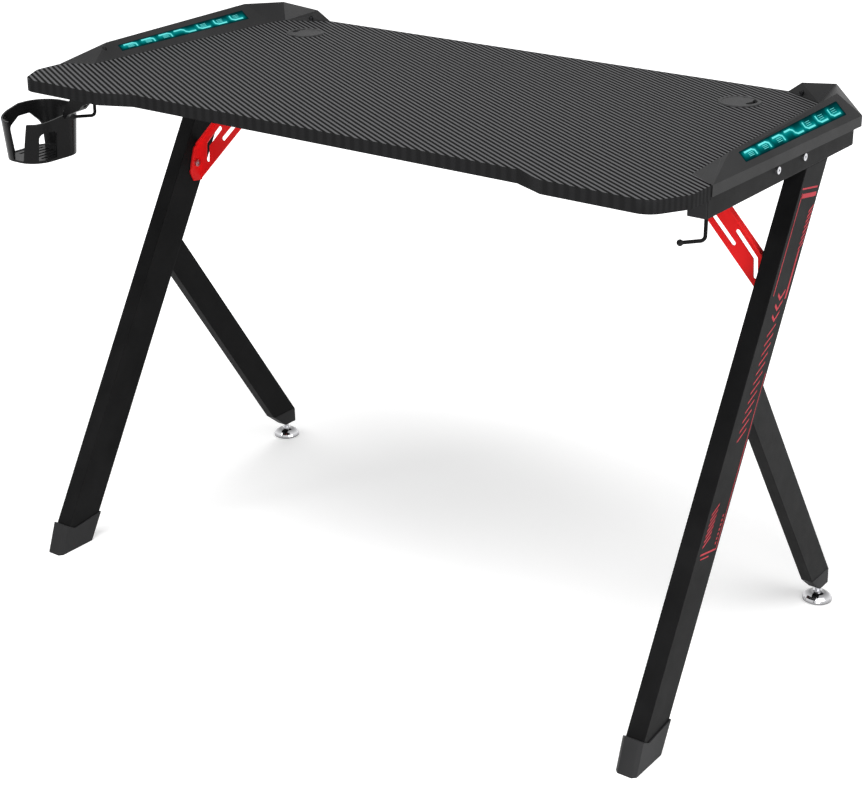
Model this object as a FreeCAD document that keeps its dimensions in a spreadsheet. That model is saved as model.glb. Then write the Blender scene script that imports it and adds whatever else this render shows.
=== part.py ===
# Gaming desk: a board on two slanted side frames, in mm, +Z up, +Y to the back.
# The origin is on the floor, under the middle of the board.
import FreeCAD, Part
import math
import os
import re
import Sketcher

V = FreeCAD.Vector
doc = FreeCAD.newDocument("desk")

# Driving sizes: name, value in mm (leans are plain ratios). An inset is measured from the board's end,
# a set from its front or back edge, a drop from the rail's underside.
SIZES = [
    # board
    ("top_z", 772), ("board_thick", 18), ("board_wide", 1100), ("board_deep", 584),
    ("recess_deep", 22), ("recess_inner_inset", 225), ("recess_outer_inset", 178),
    ("corner_wide", 29), ("corner_deep", 52), ("corner_round", 30),
    ("notch_deep", 5), ("notch_front_set", 100), ("notch_back_set", 66),
    ("wing_inset", 132), ("wing_bend_inset", 114), ("wing_bend_set", 11), ("hip_inset", 53),
    ("hip_set", 29.5),
    # side rails and cross beam
    ("rail_inset", 12), ("rail_wide", 27), ("rail_tall", 31), ("rail_front_set", 116),
    ("rail_back_set", 47),
    ("tube_wall", 2), ("plug_lip", 2), ("plug_deep", 5),
    ("beam_wide", 100), ("beam_tall", 25), ("plate_thick", 4), ("bolt_pitch", 78), ("bolt_drop", 13),
    ("bolt_r", 3), ("bolt_head_r", 5), ("bolt_head_tall", 2.5), ("nut_wide", 5.8), ("nut_tall", 5),
    # legs, feet and levellers
    ("leg_lean", 0.5535), ("leg_front", -299.3), ("leg_deep", 65), ("leg_base", 8),
    ("strut_lean", 0.69), ("strut_low", 267.3), ("strut_deep", 56.8), ("strut_wide", 17.5),
    ("strut_base", 49.5),
    ("cap_wide", 31), ("cap_front", -301), ("cap_lip_y", -285), ("cap_lip_z", 47), ("cap_dip_y", -266),
    ("cap_dip_z", 36), ("cap_rim_z", 42.5), ("cap_skin", 2.8), ("cap_gap", 0.15), ("cap_bevel", 5),
    ("block_wide", 18.5), ("block_base", 25), ("block_back", 291), ("block_front", 264),
    ("spigot_tall", 9),
    ("stud_r", 4), ("stud_gap", 0.05), ("stud_low", 9), ("stud_top", 50), ("glide_y", 276.5),
    ("glide_r", 22.5), ("glide_tall", 16), ("glide_neck_r", 7), ("glide_lift", 1.2),
    ("pad_r", 20.5), ("pad_tall", 3),
    # braces
    ("sheet", 2.5), ("brace_lean", 1.083), ("brace_reach", 82.3), ("brace_drop", 97),
    ("brace_tall", 63.1),
    ("brace_lip", 8), ("brace_bolt_drop", 155), ("brace_bolt_share", 0.5675), ("brace_bolt_edge", 10.75),
    ("slot_r", 3.4), ("small_bolt_r", 3), ("small_head_r", 5.5), ("small_head_tall", 3.5),
    ("tab_deep", 24),
    # grommets
    ("grommet_inset", 160.5), ("grommet_set", 99.5), ("grommet_r", 30.5), ("sleeve_r", 26.8),
    ("sleeve_gap", 0.2),
    ("grommet_proud", 2), ("lid_r", 24.5), ("lid_gap", 0.3), ("lid_thick", 3), ("ledge_r", 23.4),
    ("notch_r", 4.2),
    # light bars
    ("bar_skirt", 15), ("bar_wall", 2.5), ("tip_inset", 42), ("tip_set", 129), ("nose_out", 1),
    ("nose_set", 101),
    ("heel_out", 8.5), ("heel_set", 69), ("crest_inset", 18.5), ("crest_set", 179), ("crest_tall", 21),
    ("peak_inset", 22), ("peak_set", 88), ("peak_tall", 30), ("turn_inset", 69), ("turn_set", 40),
    ("shoulder_inset", 52), ("shoulder_set", 23.3), ("shoulder_tall", 26.6),
    ("ridge_inset", 111.6), ("ridge_set", 6.4), ("ridge_tall", 16.7), ("tail_inset", 134),
    ("tail_set", 1.5),
    ("window_front_set", 195), ("window_back_set", 104), ("window_inset", 0.8), ("window_thick", 2),
    ("led_wide", 10), ("led_thick", 1.6), ("led_size", 5), ("led_tall", 1.4), ("led_count", 12),
    ("bar_screw_r", 1.75), ("bar_screw_head_r", 3.2), ("bar_screw_head_tall", 2.5), ("bar_screw_seat", 4),
    ("inlet_r", 3.4), ("inlet_long", 7), ("inlet_bore_r", 2.6), ("inlet_pin_r", 0.9), ("inlet_lift", 6),
    # cup holder and hooks
    ("cup_clear", 37), ("cup_ahead", 58), ("cup_drop", 106.5), ("cup_wide", 81), ("cup_deep", 106),
    ("cup_tall", 80),
    ("cup_flare_right", 8), ("cup_flare_left", 9.5), ("cup_flare_front", 7.5), ("cup_flare_back", 3.5),
    ("cup_low_round", 34), ("cup_top_round", 42), ("cup_wall", 3), ("cup_floor", 3.5),
    ("rim_back_up", 75.5), ("rim_left_up", 63.5), ("rim_right_up", 63), ("rim_bend_up", 72.5),
    ("mouth_left", 6.5), ("mouth_right", 14), ("mouth_flare", 3), ("mouth_slant", 18),
    ("drain_wide", 5), ("drain_long", 50), ("drain_pitch", 12),
    ("cup_arm_set", 10), ("cup_arm_wide", 17), ("cup_arm_thick", 10.5),
    ("cup_screw_r", 1.75), ("cup_screw_head_r", 3.5), ("cup_screw_head_tall", 2.2), ("cup_screw_bite", 8),
    ("hook_set", 24), ("hook_r", 2.5), ("hook_drop", 35.5), ("hook_bend", 6), ("hook_reach", 32),
    ("tip_r", 4.3),
    ("screw_r", 2), ("screw_head_r", 4), ("screw_head_tall", 2.5), ("screw_bite", 12),
]
# Places and heights that follow from the sizes.
DERIVED = [
    ("rail_outer", "board_wide / 2 - rail_inset"),
    ("rail_front", "-board_deep / 2 + rail_front_set"), ("rail_back", "board_deep / 2 - rail_back_set"),
    ("rail_low", "top_z - board_thick - rail_tall"),
    ("beam_y", "leg_front + leg_lean * rail_low - beam_wide / 2"),
    ("brace_x", "rail_outer - rail_wide - brace_reach"), ("brace_low_z", "rail_low - brace_drop"),
    ("brace_bolt_z", "rail_low - brace_bolt_drop"),
    ("brace_bolt_y", "leg_front + leg_lean * brace_bolt_z + leg_deep * brace_bolt_share"),
    ("brace_y", "brace_bolt_y + brace_bolt_edge"),
    ("grommet_x", "board_wide / 2 - grommet_inset"), ("grommet_y", "board_deep / 2 - grommet_set"),
    ("window_front", "-board_deep / 2 + window_front_set"),
    ("window_back", "board_deep / 2 - window_back_set"),
    ("cup_side", "-rail_outer - cup_clear"), ("cup_front", "rail_front - cup_ahead"),
    ("cup_x", "cup_side - cup_wide / 2"), ("cup_y", "cup_front + cup_deep / 2"),
    ("cup_base", "rail_low - cup_drop"), ("cup_arm_y", "rail_front + cup_arm_set"),
    ("hook_y", "rail_front + hook_set"), ("hook_z", "rail_low - hook_drop"),
]
sheet = doc.addObject("Spreadsheet::Sheet", "Sizes")
for row, (alias, amount) in enumerate(SIZES + [(name, "=" + rule) for name, rule in DERIVED], 1):
    sheet.set("A%d" % row, alias)
    sheet.set("B%d" % row, str(amount))
    sheet.setAlias("B%d" % row, alias)
doc.recompute()
NAMES = sorted((name for name, amount in SIZES + DERIVED), key=len, reverse=True)
ALIASES = re.compile(r"\b(" + "|".join(NAMES) + r")\b")

# Heights and lines used again and again, as formulas of the sizes.
END = "(board_wide / 2)"
FRONT = "(-board_deep / 2)"
BACK = "(board_deep / 2)"
UNDER = "(top_z - board_thick)"
RAIL_LOW = "rail_low"
RAIL_IN = "(rail_outer - rail_wide)"
RAIL_MID = "(rail_outer - rail_wide / 2)"
BEAM_LOW = "(top_z - board_thick - beam_tall)"
BOLT_Z = "(top_z - board_thick - bolt_drop)"


def size(alias):
    """The sheet's present value of one size."""
    return float(sheet.get(alias))


def bound(text):
    """A formula of size names, as an expression on the sheet."""
    return ALIASES.sub(r"Sizes.\1", str(text))


def value(text):
    """The same formula worked out now, to place sketch points near their places."""
    probe = doc.getObject("Probe") or doc.addObject("App::FeatureTest", "Probe")
    return float(probe.evalExpression(bound(text)))


def bind(obj, prop, text):
    obj.setExpression(prop, bound(text))


def place(obj, x="0", y="0", z="0"):
    for axis, text in (("x", x), ("y", y), ("z", z)):
        bind(obj, "Placement.Base." + axis, text)


def pin_point(sketch, geo, point, x, y):
    """Holds one point of a sketch at two formulas."""
    for kind, text in (("DistanceX", x), ("DistanceY", y)):
        number = sketch.addConstraint(Sketcher.Constraint(kind, -1, 1, geo, point, value(text)))
        sketch.setExpression("Constraints[%d]" % number, bound(text))


def draw_polygon(sketch, points):
    first = sketch.GeometryCount
    spots = [V(value(x), value(y), 0) for x, y in points]
    for here, there in zip(spots, spots[1:] + spots[:1]):
        sketch.addGeometry(Part.LineSegment(here, there), False)
    count = len(points)
    for i, (x, y) in enumerate(points):
        sketch.addConstraint(Sketcher.Constraint("Coincident", first + i, 2, first + (i + 1) % count, 1))
        pin_point(sketch, first + i, 1, x, y)


def draw_circle(sketch, x, y, radius):
    geo = sketch.addGeometry(Part.Circle(V(value(x), value(y), 0), V(0, 0, 1), value(radius)), False)
    pin_point(sketch, geo, 3, x, y)
    number = sketch.addConstraint(Sketcher.Constraint("Radius", geo, value(radius)))
    sketch.setExpression("Constraints[%d]" % number, bound(radius))


def new_sketch(body, plane, loops):
    """A sketch on one of the body's own planes; a loop is a list of points or (x, y, radius)."""
    sketch = body.newObject("Sketcher::SketchObject", body.Name + "_sketch")
    planes = [f for f in body.Origin.OriginFeatures if f.Role == plane + "_Plane"]
    sketch.AttachmentSupport = [(planes[0], "")]
    sketch.MapMode = "FlatFace"
    for loop in loops:
        if isinstance(loop, tuple):
            draw_circle(sketch, *loop)
        else:
            draw_polygon(sketch, loop)
    return sketch


def prism(label, plane, loops, length, at=("0", "0", "0")):
    """A body padded both ways from a sketch, so `at` gives the middle of its thickness."""
    body = doc.addObject("PartDesign::Body", label)
    sketch = new_sketch(body, plane, loops)
    pad = body.newObject("PartDesign::Pad", label + "_pad")
    pad.Profile = sketch
    pad.Midplane = True
    bind(pad, "Length", length)
    place(body, *at)
    doc.recompute()
    return body


def turned(label, points, at=("0", "0", "0")):
    """A body turned about its own Z axis from a half section of (radius, height) points."""
    body = doc.addObject("PartDesign::Body", label)
    sketch = new_sketch(body, "XZ", [points])
    spin = body.newObject("PartDesign::Revolution", label + "_spin")
    spin.Profile = sketch
    spin.ReferenceAxis = (sketch, ["V_Axis"])
    spin.Angle = 360
    place(body, *at)
    doc.recompute()
    return body


def rectangle(x0, x1, y0, y1):
    return [(x0, y0), (x1, y0), (x1, y1), (x0, y1)]


def box(label, x0, x1, y0, y1, z0, z1):
    solid = doc.addObject("Part::Box", label)
    for prop, low, high in (("Length", x0, x1), ("Width", y0, y1), ("Height", z0, z1)):
        bind(solid, prop, "(%s) - (%s)" % (high, low))
    place(solid, x0, y0, z0)
    return solid


TURNS = {"Z": (V(0, 0, 1), 0), "X": (V(0, 1, 0), 90), "Y": (V(1, 0, 0), -90)}


def cylinder(label, radius, length, at, axis="Z"):
    """A cylinder that starts at a point and runs along +axis."""
    solid = doc.addObject("Part::Cylinder", label)
    bind(solid, "Radius", radius)
    bind(solid, "Height", length)
    solid.Placement = FreeCAD.Placement(V(0, 0, 0), FreeCAD.Rotation(*TURNS[axis]))
    place(solid, *at)
    return solid


def dressed(body, kind, prop, amount, wanted):
    """Rounds or bevels the edges of a body that `wanted` picks by their two ends."""
    last = body.Group[-1]
    picks = []
    for i, edge in enumerate(last.Shape.Edges, 1):
        ends = [v.Point for v in edge.Vertexes]
        if len(ends) == 2 and wanted(*ends):
            picks.append("Edge%d" % i)
    dress = body.newObject("PartDesign::" + kind, body.Name + "_" + kind.lower())
    dress.Base = (last, picks)
    bind(dress, prop, amount)
    doc.recompute()


def fuse(label, solids, refine=True):
    joined = doc.addObject("Part::MultiFuse", label)
    joined.Shapes = solids
    joined.Refine = refine
    doc.recompute()
    return joined


def cut(label, base, tools):
    """The base without its tools."""
    result = doc.addObject("Part::Cut", label)
    result.Base = base
    result.Tool = tools[0] if len(tools) == 1 else group(label + "_tools", tools)
    doc.recompute()
    return result


def group(label, solids):
    """Separate solids kept in one object."""
    together = doc.addObject("Part::Compound", label)
    together.Links = solids
    doc.recompute()
    return together


def mirrored(label, source):
    """The same piece on the other side of the desk's middle plane."""
    twin = doc.addObject("Part::Mirroring", label)
    twin.Source = source
    twin.Normal = V(1, 0, 0)
    doc.recompute()
    return twin


NODES = []


def node(label, obj):
    """Hands an object in as one piece, under the name of its file."""
    obj.Label = label
    NODES.append((label, obj))
    return obj


def pair(stem, build):
    """A right-hand piece and its mirror image on the left."""
    right = node(stem + "_right", build(stem + "_right"))
    left = node(stem + "_left", mirrored(stem + "_left", right))
    return right, left


def bolt(label, radius, head_r, head_tall, length, at, axis, drive=None):
    """A round-headed bolt: the point is under its head, the shank runs along +axis."""
    shift = {"X": 0, "Y": 1, "Z": 2}[axis]
    back = list(at)
    back[shift] = "%s - %s" % (at[shift], head_tall)
    shank = cylinder(label + "_shank", radius, length, at, axis)
    head = cylinder(label + "_head", head_r, head_tall, tuple(back), axis)
    width = drive or radius + " * 0.6"
    socket = cylinder(label + "_socket", width, head_tall + " * 0.6", tuple(back), axis)
    return cut(label, fuse(label + "_blank", [shank, head]), [socket])


# Fastener places, shared by every piece they pass through.
BEAM_BOLTS = [("beam_y - bolt_pitch / 2", "front"), ("beam_y + bolt_pitch / 2", "back")]
RAIL_SCREWS = [("(rail_front + 76)", "front"), ("(rail_back - 45)", "back")]
BEAM_SCREWS = [("(board_wide * 0.23)", "right"), ("-(board_wide * 0.23)", "left")]
BAR_SCREWS = [("(%s - 25.8)" % END, "(%s + 168.2)" % FRONT, "front"),
              ("(%s - 106)" % END, "(%s - 18)" % BACK, "back")]
BRACE_TOP_X = "(brace_x + (brace_low_z - %s) / brace_lean + brace_tall / brace_lean / 2)" % BEAM_LOW
BRACE_TOP_Y = "(brace_y - tab_deep / 2 - 1)"
CUP_SCREWS = [("-(%s + rail_wide * 0.25)" % RAIL_IN, "inner"),
              ("-(%s + rail_wide * 0.68)" % RAIL_IN, "outer")]


# Board: recessed front edge, cut front corners, ends stepped back under the light bars.
def desktop(label):
    step = END + " - notch_deep"
    right = [
        (END + " - recess_inner_inset", FRONT + " + recess_deep"), (END + " - recess_outer_inset", FRONT),
        (END + " - corner_wide", FRONT), (END, FRONT + " + corner_deep"),
        (END, FRONT + " + notch_front_set"), (step, FRONT + " + notch_front_set"),
        (step, BACK + " - notch_back_set"), (END + " - hip_inset", BACK + " - hip_set"),
        (END + " - wing_bend_inset", BACK + " - wing_bend_set"), (END + " - wing_inset", BACK),
    ]
    left = [("-(%s)" % x, y) for x, y in reversed(right)]
    board = prism(label + "_blank", "XY", [right + left], "board_thick",
                  ("0", "0", "top_z - board_thick / 2"))
    limit_x = value(END + " - corner_wide - 1")
    limit_y = value(FRONT + " + corner_deep + 1")
    dressed(board, "Fillet", "Radius", "corner_round", lambda start, stop: abs(start.x - stop.x) < 0.01
            and abs(start.y - stop.y) < 0.01 and abs(start.x) > limit_x and start.y < limit_y)
    holes = []
    for sign, side in (("", "right"), ("-", "left")):
        holes.append(cylinder(label + "_cable_" + side, "sleeve_r + sleeve_gap", "board_thick + 2",
                              (sign + "grommet_x", "grommet_y", UNDER + " - 1")))
        for y, spot in RAIL_SCREWS:
            holes.append(cylinder(label + "_pilot_%s_%s" % (spot, side), "screw_r + 0.1",
                                  "screw_bite + 1", (sign + RAIL_MID, y, UNDER)))
        for x, y, spot in BAR_SCREWS:
            holes.append(cylinder(label + "_bar_%s_%s" % (spot, side), "bar_screw_r + 0.1",
                                  "screw_bite + 1", (sign + x, y, "top_z - screw_bite - 1")))
    for x, side in BEAM_SCREWS:
        holes.append(cylinder(label + "_pilot_beam_" + side, "screw_r + 0.1", "screw_bite + 1",
                              (x, "beam_y", UNDER)))
    return cut(label, board, holes)


node("desktop", desktop("desktop"))


# Side rails: rectangular tubes under the ends of the board.
def side_rail(label):
    middle = "(rail_front + rail_back) / 2"
    outer = rectangle(RAIL_IN, "rail_outer", RAIL_LOW, UNDER)
    inner = rectangle(RAIL_IN + " + tube_wall", "rail_outer - tube_wall",
                      RAIL_LOW + " + tube_wall", UNDER + " - tube_wall")
    tube = prism(label + "_tube", "XZ", [outer, inner], "rail_back - rail_front", ("0", middle, "0"))
    holes = [cylinder(label + "_bolt_" + spot, "bolt_r + 0.2", "rail_wide + 2",
                      (RAIL_IN + " - 1", y, BOLT_Z), "X")
             for y, spot in BEAM_BOLTS]
    for y, spot in RAIL_SCREWS:
        holes.append(cylinder(label + "_screw_" + spot, "screw_r + 0.2", "tube_wall + 2",
                              (RAIL_MID, y, UNDER + " - tube_wall - 1")))
        holes.append(cylinder(label + "_reach_" + spot, "screw_head_r + 1", "tube_wall + 2",
                              (RAIL_MID, y, RAIL_LOW + " - 1")))
    holes.append(cylinder(label + "_hook", "hook_r + 0.15", "tube_wall + 2",
                          (RAIL_MID, "hook_y", RAIL_LOW + " - 1")))
    return cut(label, tube, holes)


rail_right = node("side_rail_right", side_rail("side_rail_right"))
rail_twin = mirrored("side_rail_left_plain", rail_right)
cup_holes = [cylinder("side_rail_cup_" + spot, "cup_screw_r + 0.1", "tube_wall + 2",
                      (x, "cup_arm_y", RAIL_LOW + " - 1")) for x, spot in CUP_SCREWS]
node("side_rail_left", cut("side_rail_left", rail_twin, cup_holes))


# Plastic plugs that close the rail ends.
def rail_plug(label, at_front):
    lip, core = ("rail_back", "rail_back + plug_lip"), ("rail_back - plug_deep", "rail_back")
    if at_front:
        lip, core = ("rail_front - plug_lip", "rail_front"), ("rail_front", "rail_front + plug_deep")
    edge = "(tube_wall + 0.1)"
    cover = box(label + "_lip", RAIL_IN, "rail_outer", *lip, RAIL_LOW, UNDER)
    insert = box(label + "_core", RAIL_IN + " + " + edge, "rail_outer - " + edge, *core,
                 RAIL_LOW + " + " + edge, UNDER + " - " + edge)
    return fuse(label, [cover, insert])


plugs = [rail_plug("rail_plug_front", True), rail_plug("rail_plug_back", False)]
plugs += [mirrored(p.Name + "_left", p) for p in plugs]
node("rail_end_plugs", group("rail_end_plugs", plugs))


# Cross beam: one wide flat tube with a plate welded to each end.
def cross_beam(label):
    y0, y1 = "beam_y - beam_wide / 2", "beam_y + beam_wide / 2"
    outer = rectangle(y0, y1, BEAM_LOW, UNDER)
    inner = rectangle(y0 + " + tube_wall", y1 + " - tube_wall",
                      BEAM_LOW + " + tube_wall", UNDER + " - tube_wall")
    reach = "(%s - plate_thick)" % RAIL_IN
    tube = prism(label + "_tube", "YZ", [outer, inner], "2 * " + reach)
    plates = [box(label + "_plate_right", reach, RAIL_IN, y0, y1, RAIL_LOW + " + 1", UNDER),
              box(label + "_plate_left", "-" + RAIL_IN, "-" + reach, y0, y1, RAIL_LOW + " + 1", UNDER)]
    holes = []
    for y, spot in BEAM_BOLTS:
        for x, side in ((reach + " - 1", "right"), ("-%s - 1" % RAIL_IN, "left")):
            holes.append(cylinder(label + "_bolt_%s_%s" % (spot, side), "bolt_r + 0.2", "plate_thick + 2",
                                  (x, y, BOLT_Z), "X"))
    for x, side in BEAM_SCREWS:
        holes.append(cylinder(label + "_screw_" + side, "screw_r + 0.2", "tube_wall + 2",
                              (x, "beam_y", UNDER + " - tube_wall - 1")))
        holes.append(cylinder(label + "_reach_" + side, "screw_head_r + 1", "tube_wall + 2",
                              (x, "beam_y", BEAM_LOW + " - 1")))
    for sign, side in (("", "right"), ("-", "left")):
        holes.append(cylinder(label + "_brace_" + side, "small_bolt_r + 0.2", "tube_wall + 2",
                              (sign + BRACE_TOP_X, BRACE_TOP_Y, BEAM_LOW + " - 1")))
    return cut(label, fuse(label + "_welded", [tube] + plates), holes)


node("cross_beam", cross_beam("cross_beam"))


# A point on the front or back line of the main leg, and on the rear strut.
def leg_point(z, extra="0"):
    return ("leg_front + leg_lean * (%s) + (%s)" % (z, extra), z)


def strut_point(z, extra="0"):
    return ("strut_low - strut_lean * (%s) + (%s)" % (z, extra), z)


def leg_shape(low, high, skin):
    """Side outline of the main leg between two heights, grown by a skin."""
    return [leg_point(low, "-(%s)" % skin), leg_point(low, "leg_deep + (%s)" % skin),
            leg_point(high, "leg_deep + (%s)" % skin), leg_point(high, "-(%s)" % skin)]


LEG_MID = (RAIL_MID, "0", "0")
SLANT_WALL = "tube_wall * sqrt(1 + leg_lean ^ 2)"
STRUT_WALL = "tube_wall * sqrt(1 + strut_lean ^ 2)"


def main_leg(label):
    tube = prism(label + "_tube", "YZ", [leg_shape("leg_base", RAIL_LOW, "0")], "rail_wide", LEG_MID)
    inner = leg_shape("leg_base - 5", RAIL_LOW + " + 5", "-" + SLANT_WALL)
    inside = prism(label + "_inside", "YZ", [inner], "rail_wide - 2 * tube_wall", LEG_MID)
    hole = cylinder(label + "_brace", "small_bolt_r + 0.2", "tube_wall + 2",
                    (RAIL_IN + " - 1", "brace_bolt_y", "brace_bolt_z"), "X")
    return cut(label, tube, [inside, hole])


pair("main_leg", main_leg)


# Heights at which the strut's lower and upper lines meet the back of the main leg.
STRUT_LOW_Z = "((strut_low - leg_front - leg_deep) / (leg_lean + strut_lean))"
STRUT_HIGH_Z = "((strut_low + strut_deep - leg_front - leg_deep) / (leg_lean + strut_lean))"


def rear_leg(label):
    outline = [strut_point("strut_base"), strut_point("strut_base", "strut_deep"),
               strut_point(STRUT_HIGH_Z, "strut_deep"), strut_point(STRUT_LOW_Z)]
    far = "strut_deep - " + STRUT_WALL
    inner = [strut_point("strut_base - 5", STRUT_WALL), strut_point("strut_base - 5", far),
             strut_point(STRUT_HIGH_Z, far), strut_point(STRUT_HIGH_Z, STRUT_WALL)]
    tube = prism(label + "_tube", "YZ", [outline], "strut_wide", LEG_MID)
    inside = prism(label + "_inside", "YZ", [inner], "strut_wide - 2 * tube_wall", LEG_MID)
    return cut(label, tube, [inside])


pair("rear_leg", rear_leg)


# Wedge block in the foot of the rear leg, with the thread for the leveller.
def rear_block(label):
    outline = [strut_point("strut_base"), strut_point("strut_base", "strut_deep"),
               ("block_back", "block_base"), ("block_front", "block_base")]
    wedge = prism(label + "_wedge", "YZ", [outline], "block_wide", LEG_MID)
    skin = "(%s + 0.2)" % STRUT_WALL
    high = "strut_base + spigot_tall"
    far = "strut_deep - " + skin
    outline = [strut_point("strut_base", skin), strut_point("strut_base", far),
               strut_point(high, far), strut_point(high, skin)]
    spigot = prism(label + "_spigot", "YZ", [outline], "strut_wide - 2 * tube_wall - 0.4", LEG_MID)
    bore = cylinder(label + "_bore", "stud_r + stud_gap", "stud_top + 3 - block_base + 1",
                    (RAIL_MID, "glide_y", "block_base - 1"))
    return cut(label, fuse(label + "_blank", [wedge, spigot]), [bore])


pair("rear_leg_block", rear_block)


# Levellers: a threaded stud, a domed foot on its end and a pad under the dome.
def glide_stud(label):
    return cylinder(label, "stud_r", "stud_top - stud_low", (RAIL_MID, "glide_y", "stud_low"))


def glide_dome(label):
    bore, seat = "stud_r + stud_gap", "pad_r + 0.2"
    section = [("0", "pad_tall"), (seat, "pad_tall"), (seat, "glide_lift"), ("glide_r", "glide_lift"),
               ("glide_r", "glide_lift + 2.5"), ("glide_r * 0.93", "glide_tall * 0.42"),
               ("glide_r * 0.78", "glide_tall * 0.62"), ("glide_r * 0.56", "glide_tall * 0.78"),
               ("glide_neck_r", "glide_tall * 0.86"), ("glide_neck_r", "glide_tall"),
               (bore, "glide_tall"), (bore, "stud_low"), ("0", "stud_low")]
    return turned(label, section, (RAIL_MID, "glide_y", "0"))


def glide_pad(label):
    return cylinder(label, "pad_r", "pad_tall", (RAIL_MID, "glide_y", "0"))


pair("leveller_stud", glide_stud)
pair("leveller_dome", glide_dome)
pair("leveller_pad", glide_pad)


# Plastic cap on the foot of the main leg, higher at the front with bevelled corners.
def foot_cap(label):
    outline = [("cap_front", "0"), leg_point("0", "leg_deep + cap_skin"),
               leg_point("cap_rim_z", "leg_deep + cap_skin"), ("cap_dip_y", "cap_dip_z"),
               ("cap_lip_y", "cap_lip_z")]
    shell = prism(label + "_shell", "YZ", [outline], "cap_wide", LEG_MID)
    dressed(shell, "Chamfer", "Size", "cap_bevel", lambda start, stop: abs(start.x - stop.x) < 0.01
            and abs(start.z - stop.z) > 20 and max(start.y, stop.y) < size("cap_dip_y"))
    socket = prism(label + "_socket", "YZ", [leg_shape("leg_base", "cap_lip_z + 20", "cap_gap")],
                   "rail_wide + 2 * cap_gap", LEG_MID)
    return cut(label, shell, [socket])


pair("foot_cap", foot_cap)


# Folded sheet brace from the leg up to the beam, with two long slots in its web.
def brace_point(z, up="0"):
    return ("brace_x + (brace_low_z + (%s) - (%s)) / brace_lean" % (up, z), z)


def brace_edge(x, up="0"):
    return (x, "brace_low_z + (%s) - brace_lean * ((%s) - brace_x)" % (up, x))


# Ends of the slots in the web: (inwards from the leg, up from the leg bolt).
BRACE_SLOTS = {"low": ((-84, 78), (-54, 46)), "high": ((-48, 63), (-20, 31)),
               "end": ((-20, 31), (-18.5, 5))}


def long_slot(points, x, y, radius):
    """Corners of the strip between two round ends, given as offsets from a point."""
    (x0, y0), (x1, y1) = points
    length = ((x1 - x0) ** 2 + (y1 - y0) ** 2) ** 0.5
    across, up = (y0 - y1) / length, (x1 - x0) / length
    rule = "%s + (%g) + %s * (%.5f)"
    return [(rule % (x, a, radius, side * across), rule % (y, b, radius, side * up))
            for a, b, side in ((x0, y0, 1), (x0, y0, -1), (x1, y1, -1), (x1, y1, 1))]


def brace_slot(label, points):
    """A round-ended slot through the web."""
    outline = long_slot(points, RAIL_IN, "brace_bolt_z", "slot_r")
    slab = prism(label + "_slab", "XZ", [outline], "3 * sheet", ("0", "brace_y", "0"))
    ends = []
    for i, (x, z) in enumerate(points):
        middle = ("%s + (%g)" % (RAIL_IN, x), "brace_y - 1.5 * sheet", "brace_bolt_z + (%g)" % z)
        ends.append(cylinder(label + "_round_%d" % i, "slot_r", "3 * sheet", middle, "Y"))
    return fuse(label, [slab] + ends)


def brace(label):
    top = BEAM_LOW
    web = prism(label + "_web", "XZ", [[brace_edge(RAIL_IN), brace_edge(RAIL_IN, "brace_tall"),
                                        brace_point(top, "brace_tall"), brace_point(top)]],
                "sheet", ("0", "brace_y", "0"))
    fold = "(sheet * sqrt(1 + brace_lean ^ 2))"
    under_fold = "brace_tall - " + fold
    outline = [brace_edge(RAIL_IN, under_fold), brace_edge(RAIL_IN, "brace_tall"),
               brace_point(top, "brace_tall"), brace_point(top, under_fold)]
    lip = prism(label + "_lip", "XZ", [outline], "brace_lip + sheet / 2",
                ("0", "brace_y - (brace_lip + sheet / 2) / 2", "0"))
    back = "brace_y + sheet / 2"
    outline = [(back, "brace_bolt_z - 31"), ("brace_y - 18", "brace_bolt_z - 29"),
               ("brace_y - 26", "brace_bolt_z - 13"), ("brace_y - 15", "brace_bolt_z + 26"),
               (back, "brace_bolt_z + 36")]
    foot = prism(label + "_foot", "YZ", [outline], "sheet", (RAIL_IN + " - sheet / 2", "0", "0"))
    tab = box(label + "_tab", brace_point(top)[0], brace_point(top, "brace_tall")[0],
              "brace_y - tab_deep", back, top + " - sheet", top)
    slots = [brace_slot(label + "_slot_" + spot, points) for spot, points in BRACE_SLOTS.items()]
    holes = [cylinder(label + "_bolt_leg", "small_bolt_r + 0.2", "sheet + 2",
                      (RAIL_IN + " - sheet - 1", "brace_bolt_y", "brace_bolt_z"), "X"),
             cylinder(label + "_bolt_beam", "small_bolt_r + 0.2", "sheet + 2",
                      (BRACE_TOP_X, BRACE_TOP_Y, top + " - sheet - 1"))]
    return cut(label, fuse(label + "_blank", [web, lip, foot, tab]), slots + holes)


pair("brace", brace)


# Cable grommets: a flanged sleeve in the board and a notched lid that turns in it.
def grommet_sleeve(label):
    under = "-board_thick"
    inner = "lid_r + lid_gap"
    seat = "grommet_proud - 0.4 - lid_thick"
    section = [("ledge_r", under), ("sleeve_r", under), ("sleeve_r", "0"), ("grommet_r", "0"),
               ("grommet_r", "grommet_proud * 0.4"), ("grommet_r - 1.2", "grommet_proud"),
               (inner, "grommet_proud"), (inner, seat), ("ledge_r", seat)]
    return turned(label, section, ("grommet_x", "grommet_y", "top_z"))


# Stops of the curved cable notch in the lid: (to the right, to the back) of its middle.
NOTCH_STOPS = [(17, -6), (20, 6), (17.5, 17)]


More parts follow.
